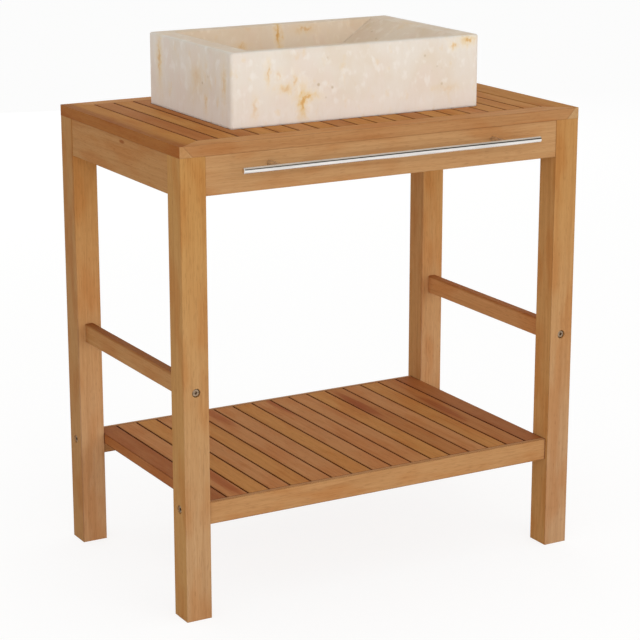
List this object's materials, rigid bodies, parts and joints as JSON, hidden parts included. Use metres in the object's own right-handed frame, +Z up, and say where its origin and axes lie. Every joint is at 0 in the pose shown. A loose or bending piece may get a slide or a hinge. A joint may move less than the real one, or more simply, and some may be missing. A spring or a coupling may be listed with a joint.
{
  "type": "wash stand with basin",
  "caption": "Open hardwood wash stand with a slatted top and shelf, a rectangular stone vessel basin with a lifting waste plug, and a round steel towel bar on the front apron.",
  "frame": {"origin": "on the floor, at the centre of the box round the stand and its towel bar", "axes": "+X along the width, +Y from the front to the back, +Z up; the front with the towel bar faces -Y"},
  "size_m": [0.74, 0.5, 0.89],
  "materials": {
    "teak": "oiled, satin",
    "cream_stone": "honed",
    "polished_steel": "polished stainless",
    "screw_steel": "dull zinc",
    "chromed_brass": "chromed"
  },
  "bodies": {
    "stand": {"apron_back": "teak", "apron_front": "teak", "apron_left": "teak", "apron_right": "teak", "basin": "cream_stone", "frame_screws": "screw_steel", "leg_back_left": "teak", "leg_back_right": "teak", "leg_front_left": "teak", "leg_front_right": "teak", "shelf_rail_back": "teak", "shelf_rail_front": "teak", "shelf_slat_01": "teak", "shelf_slat_02": "teak", "shelf_slat_03": "teak", "shelf_slat_04": "teak", "shelf_slat_05": "teak", "shelf_slat_06": "teak", "shelf_slat_07": "teak", "shelf_slat_08": "teak", "shelf_slat_09": "teak", "shelf_slat_10": "teak", "shelf_slat_11": "teak", "shelf_slat_12": "teak", "shelf_slat_13": "teak", "shelf_slat_14": "teak", "shelf_slat_15": "teak", "shelf_slat_16": "teak", "shelf_slat_17": "teak", "stretcher_left": "teak", "stretcher_right": "teak", "top_battens": "teak", "top_board_back": "teak", "top_board_front": "teak", "top_board_left": "teak", "top_board_right": "teak", "top_slat_01": "teak", "top_slat_02": "teak", "top_slat_03": "teak", "top_slat_04": "teak", "top_slat_05": "teak", "top_slat_06": "teak", "top_slat_07": "teak", "top_slat_08": "teak", "top_slat_09": "teak", "top_slat_10": "teak", "top_slat_11": "teak", "top_slat_12": "teak", "top_slat_13": "teak", "top_slat_14": "teak", "top_slat_15": "teak", "top_slat_16": "teak", "top_slat_17": "teak", "top_slat_18": "teak", "towel_bar": "polished_steel", "towel_bar_posts": "polished_steel", "waste_backnut": "chromed_brass", "waste_body": "chromed_brass"},
    "plug": {"waste_plug": "chromed_brass"}
  },
  "joints": [
    {"name": "plug_lift", "type": "slide", "parent": "stand", "child": "plug", "axis": [0, 0, 1], "range_m": [0, 0.008]}
  ]
}
